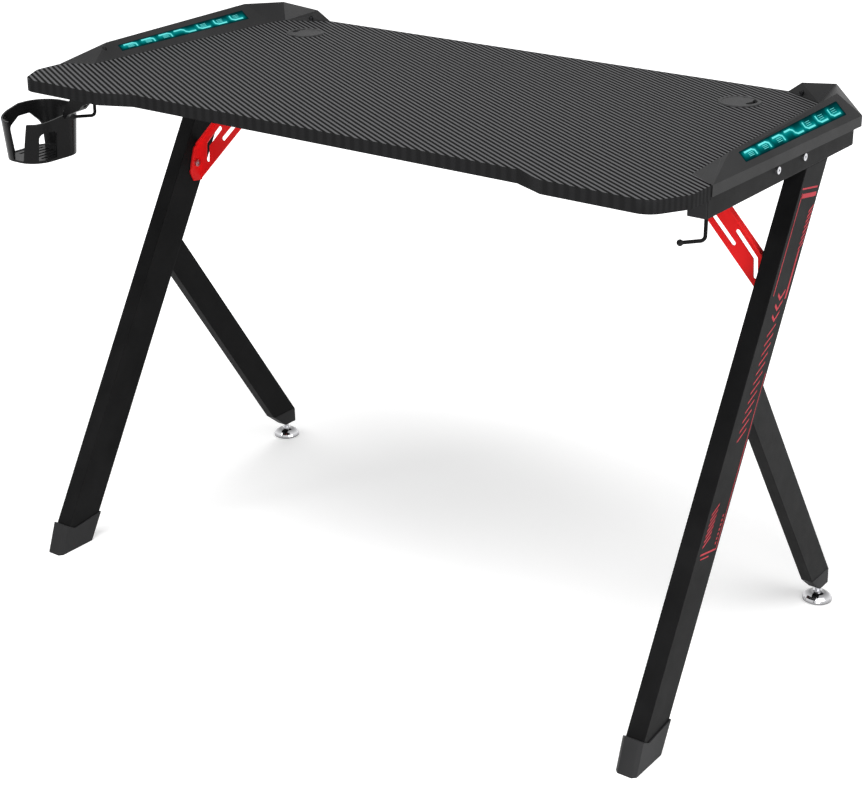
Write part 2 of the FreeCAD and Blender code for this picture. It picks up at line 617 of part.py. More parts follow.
def grommet_lid(label):
    low = "top_z + grommet_proud - 0.4 - lid_thick"
    tall = "lid_thick + 2"
    disc = cylinder(label + "_disc", "lid_r", "lid_thick", ("grommet_x", "grommet_y", low))
    bites = []
    for i, (x, y) in enumerate(NOTCH_STOPS):
        middle = ("grommet_x + (%g)" % x, "grommet_y + (%g)" % y, low + " - 1")
        bites.append(cylinder(label + "_bite_%d" % i, "notch_r", tall, middle))
    for i, points in enumerate(zip(NOTCH_STOPS, NOTCH_STOPS[1:])):
        outline = long_slot(points, "grommet_x", "grommet_y", "notch_r")
        bites.append(prism(label + "_link_%d" % i, "XY", [outline], tall,
                           ("0", "0", low + " + lid_thick / 2")))
    return cut(label, disc, [fuse(label + "_notch", bites)])


pair("grommet_sleeve", grommet_sleeve)
pair("grommet_lid", grommet_lid)


# Light bars: a faceted housing that widens and rises to the back, with two lit windows.
def plane_of(a, b, c):
    normal = (b - a).cross(c - a)
    normal.normalize()
    return normal, normal.dot(a)


def meet(*planes):
    """The point where three planes cross."""
    (n1, d1), (n2, d2), (n3, d3) = planes
    total = n2.cross(n3) * d1 + n3.cross(n1) * d2 + n1.cross(n2) * d3
    return total * (1 / n1.dot(n2.cross(n3)))


def facet(points):
    return Part.Face(Part.makePolygon(points + points[:1]))


def solid_of(faces):
    solid = Part.makeSolid(Part.makeShell(faces))
    if solid.Volume < 0:
        solid.reverse()
    return solid


# How far up its slope each window starts and ends, at the front and at the back.
WINDOW_SHARES = {"inner": ((0.33, 0.70), (0.36, 0.77)), "outer": ((0.29, 0.80), (0.25, 0.80))}


class Bar:
    """Corners of the right-hand light bar, worked out from the sheet."""

    def __init__(self):
        z = size("top_z")
        self.z = z
        self.tip = self.corner("tip_inset", FRONT + " + tip_set")
        self.nose = self.corner("-nose_out", FRONT + " + nose_set")
        self.heel = self.corner("-heel_out", BACK + " - heel_set")
        self.crest = self.corner("crest_inset", FRONT + " + crest_set", "crest_tall")
        self.peak = self.corner("peak_inset", BACK + " - peak_set", "peak_tall")
        self.turn = self.corner("turn_inset", BACK + " - turn_set")
        self.shoulder = self.corner("shoulder_inset", BACK + " - shoulder_set", "shoulder_tall")
        self.wing = self.corner("ridge_inset", BACK + " - ridge_set", "ridge_tall")
        self.tail = self.corner("tail_inset", BACK + " - tail_set")
        self.floor = (V(0, 0, 1), z)
        self.inner = plane_of(self.tip, self.crest, self.peak)
        self.outer = plane_of(self.nose, self.heel, self.peak)
        self.crest = meet(self.inner, self.outer, (V(0, 1, 0), self.crest.y))
        self.inner = plane_of(self.tip, self.crest, self.peak)
        self.hollow = plane_of(self.peak, self.shoulder, self.turn)
        self.knee = meet(self.inner, self.hollow, self.floor)
        self.shoulder_foot = V(self.shoulder.x, self.shoulder.y, z)
        self.wing_foot = V(self.wing.x, self.wing.y, z)

    def corner(self, inset, y, up="0"):
        """A point by its inset from the board's end, its place front to back and its height."""
        return V(value("%s - (%s)" % (END, inset)), value(y), value("top_z + " + up))

    def roof(self):
        base = [self.tip, self.nose, self.heel, self.shoulder_foot,
                self.wing_foot, self.tail, self.turn, self.knee]
        return solid_of([
            facet(base), facet([self.tip, self.nose, self.crest]),
            facet([self.tip, self.crest, self.peak, self.knee]),
            facet([self.knee, self.peak, self.shoulder, self.turn]),
            facet([self.turn, self.shoulder, self.wing]), facet([self.turn, self.wing, self.tail]),
            facet([self.nose, self.heel, self.peak, self.crest]),
            facet([self.heel, self.shoulder, self.peak]),
            facet([self.heel, self.shoulder_foot, self.shoulder]),
            facet([self.shoulder_foot, self.wing_foot, self.wing, self.shoulder]),
            facet([self.wing_foot, self.tail, self.wing]),
        ])

    def skirt(self):
        """The wall that hangs down outside the end of the board."""
        outer = [self.nose, self.heel, self.shoulder_foot, self.wing_foot]
        lines = []
        for here, there in zip(outer, outer[1:]):
            along = there - here
            side = V(-along.y, along.x, 0).normalize()
            lines.append((side, side.dot(here) + size("bar_wall")))
        level = self.floor
        first = meet(lines[0], (V(0, 1, 0), self.nose.y), level)
        middle = [meet(a, b, level) for a, b in zip(lines, lines[1:])]
        across = V(lines[-1][0])
        last = self.wing_foot + across * size("bar_wall")
        band = facet(outer + [last] + middle[::-1] + [first])
        return band.extrude(V(0, 0, -size("bar_skirt")))

    def sunk(self, plane, depth):
        """A slope moved into the bar."""
        normal, distance = plane
        inward = -depth if normal.z > 0 else depth
        return normal, distance + inward

    def cavity(self):
        """Space under the slopes, open to the board."""
        inner, outer = (self.sunk(p, size("bar_wall")) for p in (self.inner, self.outer))
        low = (V(0, 0, 1), self.z - 0.001)
        ends = []
        for y in (size("window_front") - 4, size("window_back") + 2):
            cross = (V(0, 1, 0), y)
            ends.append([meet(inner, low, cross), meet(outer, low, cross), meet(inner, outer, cross)])
        (a, b, c), (d, e, f) = ends
        return solid_of([facet([a, b, c]), facet([d, e, f]), facet([a, b, e, d]), facet([b, c, f, e]),
                         facet([c, a, d, f])])

    def window(self, which, depth, thick):
        """A slab in one slope: `depth` under the surface, `thick` through."""
        plane = self.inner if which == "inner" else self.outer
        share = WINDOW_SHARES[which]
        corners = []
        for y, shares in zip((size("window_front"), size("window_back")), share):
            cross = (V(0, 1, 0), y)
            foot = meet(plane, self.floor, cross)
            ridge = meet(self.inner, self.outer, cross)
            corners.append([foot + (ridge - foot) * part for part in shares])
        (a, b), (c, d) = corners
        inward = plane[0] * (-1 if plane[0].z > 0 else 1)
        corners = [p + inward * depth for p in (a, b, d, c)]
        return facet(corners).extrude(inward * thick)


bar = Bar()


def shaped(label, shape):
    """An object for a form that sketches and primitives can't make."""
    obj = doc.addObject("Part::Feature", label)
    obj.Shape = shape
    return obj


def bar_inlet_axis():
    """Middle of the power socket on the bar's rear wall, and the way into the bar."""
    along = bar.shoulder_foot - bar.wing_foot
    side = V(-along.y, along.x, 0).normalize()
    inward = side if side.y < 0 else side * -1
    return bar.wing_foot + along * 0.62 + V(0, 0, size("inlet_lift")), inward


def aimed(label, radius, length, start, way, setback="0"):
    """A cylinder along a slanted level line."""
    solid = doc.addObject("Part::Cylinder", label)
    bind(solid, "Radius", radius)
    bind(solid, "Height", length)
    origin = start + way * value(setback)
    solid.Placement = FreeCAD.Placement(origin, FreeCAD.Rotation(V(0, 0, 1), way))
    return solid


def bar_housing(label):
    body = fuse(label + "_blank", [shaped(label + "_roof", bar.roof()),
                                   shaped(label + "_skirt", bar.skirt())])
    tools = [shaped(label + "_cavity", bar.cavity())]
    for which in ("inner", "outer"):
        tools.append(shaped(label + "_%s_opening" % which, bar.window(which, -1, 6)))
    for x, y, spot in BAR_SCREWS:
        tools.append(cylinder(label + "_well_" + spot, "bar_screw_head_r + 0.4", "peak_tall + 10",
                              (x, y, "top_z + bar_screw_seat")))
        tools.append(cylinder(label + "_hole_" + spot, "bar_screw_r + 0.2", "bar_screw_seat + 2",
                              (x, y, "top_z - 1")))
    start, way = bar_inlet_axis()
    tools.append(aimed(label + "_socket", "inlet_r + 0.1", "inlet_long + 1.1", start, way, "-1"))
    return cut(label, body, [fuse(label + "_cuts", tools)])


def bar_window(which):
    return lambda label: shaped(label, bar.window(which, size("window_inset") / 2, size("window_thick")))


def led_board(label):
    x = bar.peak.x + 1
    y0, y1 = "window_front + 4", "window_back - 6"
    strip = box(label + "_strip", "%.4f - led_wide / 2" % x, "%.4f + led_wide / 2" % x, y0, y1,
                "top_z", "top_z + led_thick")
    count = int(size("led_count"))
    lamps = []
    for i in range(count):
        middle = "(%s + (%s - (%s)) * %.5f)" % (y0, y1, y0, (i + 0.5) / count)
        lamps.append(box(label + "_lamp_%d" % i, "%.4f - led_size / 2" % x, "%.4f + led_size / 2" % x,
                         middle + " - led_size / 2", middle + " + led_size / 2",
                         "top_z + led_thick", "top_z + led_thick + led_tall"))
    return fuse(label, [strip] + lamps)


def bar_inlet(label):
    start, way = bar_inlet_axis()
    body = aimed(label + "_body", "inlet_r", "inlet_long", start, way)
    bore = aimed(label + "_bore", "inlet_bore_r", "inlet_long * 0.7 + 1", start, way, "-1")
    contact = aimed(label + "_pin", "inlet_pin_r", "inlet_long * 0.7", start, way, "1")
    return fuse(label, [cut(label + "_shell", body, [bore]), contact])


pair("light_bar_housing", bar_housing)
pair("light_bar_window_outer", bar_window("outer"))
pair("light_bar_window_inner", bar_window("inner"))
pair("light_bar_led_board", led_board)
pair("light_bar_inlet", bar_inlet)


def down_screw(label, radius, head_r, head_tall, length, at):
    """A screw whose head sits on a level seat, with its shank running down."""
    x, y, z = at
    shank = cylinder(label + "_shank", radius, length, (x, y, "%s - (%s)" % (z, length)))
    head = cylinder(label + "_head", head_r, head_tall, at)
    drive = cylinder(label + "_drive", radius + " * 0.7", head_tall,
                     (x, y, "%s + %s * 0.5" % (z, head_tall)))
    return cut(label, fuse(label + "_blank", [shank, head]), [drive])


bar_screws = []
for x, y, spot in BAR_SCREWS:
    screw = down_screw("bar_screw_" + spot, "bar_screw_r", "bar_screw_head_r", "bar_screw_head_tall",
                       "bar_screw_seat + screw_bite", (x, y, "top_z + bar_screw_seat"))
    bar_screws += [screw, mirrored("bar_screw_%s_left" % spot, screw)]
node("light_bar_screws", group("light_bar_screws", bar_screws))


# Cup holder: a flared cup with round corners, a mouth for a mug handle and an arm under the left rail.
# Underside of the arm from the rail to the cup: (out from the rail's inner face, down from the rail).
ARM_UNDERSIDE = [(8, 13.3), (17, 17), (26, 26), (38, 31), (48, 35)]


def draw_rounded(sketch, left, right, front, back, radius):
    """A rectangle with round corners, each piece of it held where the sheet puts it."""
    up = V(0, 0, 1)
    corners = [(right - radius, front + radius), (right - radius, back - radius),
               (left + radius, back - radius), (left + radius, front + radius)]
    for i, (x, y) in enumerate(corners):
        start = math.pi * (i - 1) / 2
        arc = Part.ArcOfCircle(Part.Circle(V(x, y, 0), up, radius), start, start + math.pi / 2)
        nx, ny = corners[(i + 1) % 4]
        turn = V(math.cos(start + math.pi / 2), math.sin(start + math.pi / 2), 0) * radius
        for piece in (arc, Part.LineSegment(V(x, y, 0) + turn, V(nx, ny, 0) + turn)):
            sketch.addConstraint(Sketcher.Constraint("Block", sketch.addGeometry(piece, False)))


def cup_form(label, inset, z, low_round, top_round):
    """The cup's outer form, or its inside where it is set in by the wall."""
    body = doc.addObject("PartDesign::Body", label)
    low = ("cup_side - cup_wide + " + inset, "cup_side - " + inset,
           "cup_front + " + inset, "cup_front + cup_deep - " + inset)
    flares = (" - cup_flare_left", " + cup_flare_right", " - cup_flare_front", " + cup_flare_back")
    high = [edge + flare for edge, flare in zip(low, flares)]
    sketches = []
    for edges, radius, height in ((low, low_round, "0"), (high, top_round, "cup_tall")):
        sketch = new_sketch(body, "XY", [])
        draw_rounded(sketch, *[value(rule) for rule in (*edges, radius)])
        bind(sketch, "AttachmentOffset.Base.z", height)
        sketches.append(sketch)
    doc.recompute()
    loft = body.newObject("PartDesign::AdditiveLoft", label + "_loft")
    loft.Profile = sketches[0]
    loft.Sections = sketches[1:]
    loft.Ruled = True
    place(body, "0", "0", z)
    doc.recompute()
    return body


def cup_window(label, plane, outline, at, corner):
    """Cutter for a window in one wall, with its upper corners rounded."""
    body = prism(label, plane, [outline], "cup_wide", at)
    floor = value("cup_base + cup_floor + 6")
    dressed(body, "Fillet", "Radius", corner, lambda start, stop: abs(start.x - stop.x) > 5
            and min(start.z, stop.z) > floor)
    return body


# Outlines of the windows: (back from the cup's front, up from its base).
NEAR_WINDOW = [(13.5, 4.5), (45, 4.5), (45, 48), (13.5, 48)]
FAR_ARCH = [(31, 4.5), (91, 4.5), (91, 35), (86.5, 43), (73, 57), (48.5, 56.5), (28, 43)]


def cup_windows(label):
    """A low window in the wall towards the desk, a large arch opposite, and the mouth at the front."""
    cuts = []
    for spot, outline, x, corner in (("near", NEAR_WINDOW, "cup_side + cup_wide * 0.18", "9"),
                                     ("arch", FAR_ARCH, "cup_side - cup_wide * 1.18", "8")):
        points = [("cup_front + %g" % y, "cup_base + %g" % z) for y, z in outline]
        cuts.append(cup_window(label + "_" + spot, "YZ", points, (x, "0", "0"), corner))
    top, floor = "cup_base + cup_tall + 10", "cup_base + cup_floor"
    outline = [("cup_x - mouth_left", floor), ("cup_x + mouth_right", floor),
               ("cup_x + mouth_right + mouth_slant", top), ("cup_x - mouth_left - mouth_flare", top)]
    cuts.append(prism(label + "_mouth", "XZ", [outline], "cup_deep * 0.6", ("0", "cup_front", "0")))
    return cuts


def cup_arm(label):
    """The arm from under the rail to the wall of the cup, deeper towards the cup."""
    inner = "-%s + 2" % RAIL_IN
    outline = [(inner, "rail_low"), (inner, "rail_low - cup_arm_thick")]
    outline += [("-%s - %g" % (RAIL_IN, out), "rail_low - %g" % down) for out, down in ARM_UNDERSIDE]
    outline += [("cup_side + 5", "cup_base + 62"), ("cup_side - 6", "cup_base + 62"),
                ("cup_side - 6", "cup_base + rim_back_up"), ("cup_side + 6", "cup_base + rim_back_up"),
                ("-rail_outer - 8", "rail_low")]
    return prism(label, "XZ", [outline], "cup_arm_wide", ("0", "cup_arm_y", "0"))


def cup_rim(label, at, points):
    """Cutter that leaves one half of the rim along (back from the front, height) points."""
    top = "cup_base + cup_tall + 20"
    outline = [("cup_front + (%g)" % y, "cup_base + " + up) for y, up in points]
    outline += [(outline[-1][0], top), (outline[0][0], top)]
    return prism(label, "YZ", [outline], "2 * cup_wide", (at, "0", "0"))


def cup_holder(label):
    shell = cup_form(label + "_shell", "0", "cup_base", "cup_low_round", "cup_top_round")
    inside = cup_form(label + "_inside", "cup_wall", "cup_base + cup_floor", "cup_low_round - cup_wall",
                      "cup_top_round - cup_wall")
    rims = [cup_rim(label + "_rim_left", "cup_x - cup_wide",
                    [(-60, "rim_left_up"), (6, "rim_left_up"), (54, "rim_back_up"),
                     (160, "rim_back_up")]),
            cup_rim(label + "_rim_right", "cup_x + cup_wide",
                    [(-60, "rim_right_up"), (11, "rim_right_up"), (84, "rim_bend_up"),
                     (96, "rim_back_up"), (160, "rim_back_up")])]
    cup = cut(label + "_cup", shell, rims)
    blank = fuse(label + "_blank", [cup, cup_arm(label + "_arm")], False)
    slots = []
    for i in range(-2, 3):
        middle = "cup_x + drain_pitch * (%d)" % i
        slots.append(box(label + "_drain_%d" % (i + 2),
                         middle + " - drain_wide / 2", middle + " + drain_wide / 2",
                         "cup_y - drain_long / 2", "cup_y + drain_long / 2", "cup_base - 1",
                         "cup_base + cup_floor + 1"))
    holes = []
    for x, spot in CUP_SCREWS:
        seat = "rail_low - cup_arm_thick"
        holes.append(cylinder(label + "_screw_" + spot, "cup_screw_r + 0.2", "cup_arm_thick + 2",
                              (x, "cup_arm_y", seat + " - 1")))
        holes.append(cylinder(label + "_well_" + spot, "cup_screw_head_r + 0.3", "20",
                              (x, "cup_arm_y", seat + " - 20")))
    hollow = cut(label + "_hollow", blank, [inside])
    return cut(label, hollow, cup_windows(label) + slots + holes)


node("cup_holder", cup_holder("cup_holder"))


def up_screw(label, radius, head_r, head_tall, length, at):
    """A screw driven upwards: the point is where its head meets the seat."""
    return bolt(label, radius, head_r, head_tall, length, at, "Z")


cup_screws = []
for x, spot in CUP_SCREWS:
    cup_screws.append(up_screw("cup_screw_" + spot, "cup_screw_r", "cup_screw_head_r",
                               "cup_screw_head_tall", "cup_arm_thick + cup_screw_bite",
                               (x, "cup_arm_y", "rail_low - cup_arm_thick")))
node("cup_holder_screws", group("cup_holder_screws", cup_screws))


# Headphone hooks: bent rods under the rails, both pointing the same way, with a ball on each end.
HOOK_WAY = FreeCAD.Rotation(V(0, 0, 1), 231.3)


def hook(label, x):
    """A rod that drops from the rail, bends and runs out to its tip along local +X."""
    drop = cylinder(label + "_drop", "hook_r", "rail_low + 8 - hook_z - hook_bend",
                    ("0", "0", "hook_z + hook_bend"))
    bend = doc.addObject("Part::Torus", label + "_bend")
    bind(bend, "Radius1", "hook_bend")
    bind(bend, "Radius2", "hook_r")
    bend.Angle3 = 90
    stand = FreeCAD.Rotation(V(1, 0, 0), 90) * FreeCAD.Rotation(V(0, 0, 1), 180)
    bend.Placement = FreeCAD.Placement(V(0, 0, 0), stand)
    place(bend, "hook_bend", "0", "hook_z + hook_bend")
    arm = cylinder(label + "_arm", "hook_r", "hook_reach - hook_bend", ("hook_bend", "0", "hook_z"), "X")
    collar = cylinder(label + "_collar", "hook_r * 2", "2.5", ("0", "0", RAIL_LOW + " - 2.5"))
    rod = fuse(label, [drop, bend, arm, collar])
    rod.Placement = FreeCAD.Placement(V(0, 0, 0), HOOK_WAY)
    place(rod, x, "hook_y", "0")
    return rod


def hook_tip(label, x):
    ball = doc.addObject("Part::Sphere", label + "_ball")
    bind(ball, "Radius", "tip_r")
    place(ball, "hook_reach + 1.2", "0", "hook_z")
    bore = cylinder(label + "_bore", "hook_r + 0.1", "20", ("hook_reach - 20", "0", "hook_z"), "X")
    tip = cut(label, ball, [bore])
    tip.Placement = FreeCAD.Placement(V(0, 0, 0), HOOK_WAY)
    place(tip, x, "hook_y", "0")
    return tip


for side, x in (("right", RAIL_MID), ("left", "-" + RAIL_MID)):
    node("headphone_hook_" + side, hook("headphone_hook_" + side, x))
    node("hook_tip_" + side, hook_tip("hook_tip_" + side, x))


# Frame bolts, nuts and the screws that hold the board.
beam_bolts, beam_nuts = [], []
for y, spot in BEAM_BOLTS:
    right = bolt("beam_bolt_%s_plain" % spot, "bolt_r", "bolt_head_r", "bolt_head_tall",
                 "rail_wide + plate_thick + 8", ("-rail_outer", y, BOLT_Z), "X")
    beam_bolts += [right, mirrored("beam_bolt_%s_twin" % spot, right)]
    hexagon = doc.addObject("Part::Prism", "beam_nut_%s_hex" % spot)
    hexagon.Polygon = 6
    bind(hexagon, "Circumradius", "nut_wide")
    bind(hexagon, "Height", "nut_tall")
    hexagon.Placement = FreeCAD.Placement(V(0, 0, 0), FreeCAD.Rotation(V(0, 1, 0), 90))
    place(hexagon, "-%s + plate_thick" % RAIL_IN, y, BOLT_Z)
    bore = cylinder("beam_nut_%s_bore" % spot, "bolt_r + 0.1", "nut_tall + 2",
                    ("-%s + plate_thick - 1" % RAIL_IN, y, BOLT_Z), "X")
    nut = cut("beam_nut_%s_plain" % spot, hexagon, [bore])
    beam_nuts += [nut, mirrored("beam_nut_%s_twin" % spot, nut)]
node("beam_bolts", group("beam_bolts", beam_bolts))
node("beam_nuts", group("beam_nuts", beam_nuts))

SMALL_BOLT = ("small_bolt_r", "small_head_r", "small_head_tall", "sheet + tube_wall + 9")
leg_bolt = bolt("brace_bolt_leg", *SMALL_BOLT,
                (RAIL_IN + " - sheet", "brace_bolt_y", "brace_bolt_z"), "X")
top_bolt = bolt("brace_bolt_top", *SMALL_BOLT, (BRACE_TOP_X, BRACE_TOP_Y, BEAM_LOW + " - sheet"), "Z")
node("brace_bolts", group("brace_bolts", [leg_bolt, top_bolt, mirrored("brace_bolt_leg_left", leg_bolt),
                                          mirrored("brace_bolt_top_left", top_bolt)]))

board_screws = []
for y, spot in RAIL_SCREWS:
    screw = up_screw("board_screw_" + spot, "screw_r", "screw_head_r", "screw_head_tall",
                     "tube_wall + screw_bite", (RAIL_MID, y, UNDER + " - tube_wall"))
    board_screws += [screw, mirrored("board_screw_%s_left" % spot, screw)]
for x, side in BEAM_SCREWS:
    board_screws.append(up_screw("board_screw_beam_" + side, "screw_r", "screw_head_r", "screw_head_tall",
                                 "tube_wall + screw_bite", (x, "beam_y", UNDER + " - tube_wall")))
node("desktop_screws", group("desktop_screws", board_screws))

# Check every object, then write one file per piece.
doc.recompute()
faults = []
for obj in doc.Objects:
    if "Invalid" in obj.State or "Error" in obj.State:
        faults.append("%s is %s" % (obj.Label, obj.State))
for label, obj in NODES:
    if obj.Shape.isNull() or not obj.Shape.isValid() or not obj.Shape.Solids:
        faults.append(label + " has no valid solid")
if faults:
    raise RuntimeError("; ".join(faults))
os.makedirs("parts", exist_ok=True)
for label, obj in NODES:
    obj.Shape.exportStep("parts/%s.step" % label)
    ends = obj.Shape.BoundBox
    print(label, len(obj.Shape.Solids), round(obj.Shape.Volume), [round(c, 1) for c in (
        ends.XMin, ends.XMax, ends.YMin, ends.YMax, ends.ZMin, ends.ZMax)])
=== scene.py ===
import math

import bmesh
import bpy
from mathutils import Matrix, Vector


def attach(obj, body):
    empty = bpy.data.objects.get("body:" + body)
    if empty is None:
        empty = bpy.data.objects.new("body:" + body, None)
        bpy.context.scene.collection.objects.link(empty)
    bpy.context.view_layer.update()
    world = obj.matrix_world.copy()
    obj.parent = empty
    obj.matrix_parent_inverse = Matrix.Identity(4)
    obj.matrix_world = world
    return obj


# Looks of the gaming desk: materials, lit windows, leg stripes, floor, light and camera. Lengths in metres.
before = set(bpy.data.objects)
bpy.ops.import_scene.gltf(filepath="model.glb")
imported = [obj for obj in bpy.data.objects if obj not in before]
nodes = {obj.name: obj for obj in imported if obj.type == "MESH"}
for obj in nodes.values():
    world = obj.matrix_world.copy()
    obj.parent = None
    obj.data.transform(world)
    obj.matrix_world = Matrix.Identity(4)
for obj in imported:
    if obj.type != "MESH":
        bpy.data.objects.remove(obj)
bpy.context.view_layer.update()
scene = bpy.context.scene
SIDES = ("left", "right")


# Materials
class Shader:
    """A material with a Principled shader, and short calls for the nodes that feed it."""

    def __init__(self, name, colour, roughness, metallic=0.0, specular=0.5, coat=0.0):
        self.material = bpy.data.materials.new(name)
        self.material.use_nodes = True
        self.tree = self.material.node_tree
        self.main = self.tree.nodes["Principled BSDF"]
        self.set("Base Color", (*colour, 1))
        self.set("Roughness", roughness)
        self.set("Metallic", metallic)
        self.set("Specular IOR Level", specular)
        self.set("Coat Weight", coat)

    def set(self, socket, value):
        self.main.inputs[socket].default_value = value

    def feed(self, socket, source):
        self.tree.links.new(source, self.main.inputs[socket])

    def add(self, kind, links=(), **settings):
        """A node with its settings; a key that is none of its own settings names an input."""
        node = self.tree.nodes.new("ShaderNode" + kind)
        for key, value in settings.items():
            if hasattr(node, key):
                setattr(node, key, value)
            else:
                node.inputs[key].default_value = value
        for socket, source in links:
            self.tree.links.new(source, node.inputs[socket])
        return node

    def place(self):
        """Points of the piece in the desk's frame."""
        return self.add("TexCoord").outputs["Object"]

    def noise(self, scale, detail=3.0, points=None):
        node = self.add("TexNoise", [("Vector", points or self.place())], Scale=scale, Detail=detail)
        return node.outputs["Fac"]

    def ramp(self, source, stops):
        """A colour ramp from (position, colour) stops."""
        node = self.add("ValToRGB", [("Fac", source)])
        elements = node.color_ramp.elements
        while len(elements) < len(stops):
            elements.new(0.5)
        for element, (position, colour) in zip(elements, stops):
            element.position = position
            element.color = (*colour, 1)
        return node.outputs["Color"]

    def levels(self, source, low, high):
        """A value from 0 to 1 moved to another range."""
        node = self.add("MapRange", [("Value", source)])
        node.inputs["To Min"].default_value = low
        node.inputs["To Max"].default_value = high
        return node.outputs["Result"]

    def math(self, operation, first, second=0.0):
        """A Math node; the second input is a socket or a number."""
        node = self.add("Math", [(0, first)], operation=operation)
        if isinstance(second, float):
            node.inputs[1].default_value = second
        else:
            self.tree.links.new(second, node.inputs[1])
        return node.outputs["Value"]

    def mix(self, share, first, second):
        """Colours mixed by a socket from 0 to 1."""
        node = self.add("MixRGB", [("Fac", share), ("Color1", first), ("Color2", second)])
        return node.outputs["Color"]

    def upward(self, vector):
        return self.add("SeparateXYZ", [("Vector", vector)]).outputs["Z"]

    def bump(self, source, strength, distance, edge=0.0):
        """Fine relief, over edges that look rounded to a radius."""
        node = self.add("Bump", [("Height", source)], Strength=strength, Distance=distance)
        if edge:
            rounded = self.add("Bevel", samples=6, Radius=edge)
            self.tree.links.new(rounded.outputs["Normal"], node.inputs["Normal"])
        self.feed("Normal", node.outputs["Normal"])

    def tint(self, dark, light, scale):
        """Uneven colour from a soft noise."""
        cloud = self.noise(scale, detail=4.0)
        self.feed("Base Color", self.ramp(cloud, [(0.35, dark), (0.65, light)]))

    def gloss(self, low, high, scale):
        """Uneven roughness."""
        self.feed("Roughness", self.levels(self.noise(scale), low, high))


BLUE_LEAN = 1.03


def grey(level):
    """A grey that leans a little to blue."""
    return (level, level, level * BLUE_LEAN)


def dimmed(colour, share):
    return tuple(part * share for part in colour)


def powder_coat(name, dark, light, roughness, bump=0.12, specular=0.1, edge=0.0):
    """Sprayed paint: fine orange peel, slightly uneven colour and gloss."""
    shader = Shader(name, light, roughness, specular=specular)
    shader.tint(dark, light, scale=18)
    shader.bump(shader.noise(scale=1400, detail=2.0), bump, distance=0.0004, edge=edge)
    shader.gloss(roughness - 0.06, roughness + 0.06, scale=60)
    return shader.material


def moulded(name, dark, light, roughness, bump=0.1, coat=0.0, specular=0.5):
    """Moulded plastic: spark-eroded grain and faint flow marks."""
    shader = Shader(name, light, roughness, coat=coat, specular=specular)
    shader.tint(dark, light, scale=9)
    shader.bump(shader.noise(scale=2200, detail=1.0), bump, distance=0.0003)
    shader.gloss(roughness - 0.05, roughness + 0.07, scale=35)
    return shader.material


def plated(name, colour, roughness, bump, tall=0.0):
    """Plated steel with fine handling marks; a piece with a height gets painted reflection bands, darker
    and lighter by height.
    """
    shader = Shader(name, colour, roughness, metallic=1.0)
    if tall:
        # Painted reflection: the base colour goes darker and lighter in bands by height, standing in for
        # what the chrome mirrors.
        share = shader.math("DIVIDE", shader.upward(shader.place()), tall)
        reflection_dark = dimmed(colour, 0.3)
        painted_reflection_bands = [(0.1, reflection_dark), (0.45, colour), (0.8, reflection_dark), (1.0, colour)]
        shader.feed("Base Color", shader.ramp(share, painted_reflection_bands))
    shader.gloss(roughness * 0.7, roughness * 1.5, scale=220)
    shader.bump(shader.noise(scale=500), bump, distance=0.0003)
    return shader.material


def glow(name, colour, strength, base):
    """A lit translucent piece, a little uneven along its length."""
    shader = Shader(name, base, 0.4, specular=0.02)
    stops = [(0.2, dimmed(colour, 0.75)), (0.8, colour)]
    shader.feed("Emission Color", shader.ramp(shader.noise(scale=26), stops))
    shader.set("Emission Strength", strength)
    return shader.material


def halo():
    """Soft light around the marks: each point's brightness comes with the mesh."""
    shader = Shader("trace_halo", (0.0, 0.004, 0.005), 0.5, specular=0.0)
    level = shader.add("Attribute", attribute_name="light").outputs["Fac"]
    uneven = shader.math("MULTIPLY", level, shader.levels(shader.noise(scale=160), 0.8, 1.2))
    stops = [(0.0, (0.0, 0.008, 0.009)), (0.3, (0.0, 0.060, 0.062)), (0.7, (0.0, 0.19, 0.19)),
             (1.0, (0.01, 0.32, 0.32))]
    shader.feed("Emission Color", shader.ramp(uneven, stops))
    shader.set("Emission Strength", 1.0)
    return shader.material


STRIPE_PITCH = 0.00785
STRIPE_TURN = math.radians(59)
# Width of one band of Blender's wave texture at scale 1.
WAVE_BAND = 2 * math.pi / 20


def laminate():
    """Board: slanted raised stripes on the faces, hardly seen on the dark edges."""
    shader = Shader("laminate", grey(0.05), 0.55, specular=0.012)
    turned = shader.add("Mapping", [("Vector", shader.place())], Rotation=(0, 0, -STRIPE_TURN))
    turned = turned.outputs["Vector"]
    wave = shader.add("TexWave", [("Vector", turned)], wave_type="BANDS", bands_direction="X",
                      Scale=WAVE_BAND / STRIPE_PITCH, Distortion=0.0)
    stripes = wave.outputs["Fac"]
    along = shader.add("Mapping", [("Vector", turned)], Scale=(900, 60, 1)).outputs["Vector"]
    thread = shader.levels(shader.noise(scale=1.0, detail=2.0, points=along), 0.8, 1.2)
    mixed = shader.math("MULTIPLY", stripes, thread)
    top = shader.ramp(mixed, [(0.22, grey(0.002)), (0.5, grey(0.018)), (0.8, grey(0.070))])
    edge = shader.ramp(mixed, [(0.2, grey(0.0135)), (0.8, grey(0.0175))])
    tilt = shader.math("ABSOLUTE", shader.upward(shader.add("NewGeometry").outputs["Normal"]))
    shader.feed("Base Color", shader.mix(shader.math("GREATER_THAN", tilt, 0.7), edge, top))
    shader.feed("Roughness", shader.levels(stripes, 0.66, 0.5))
    shader.bump(mixed, 0.25, distance=0.0004)
    return shader.material


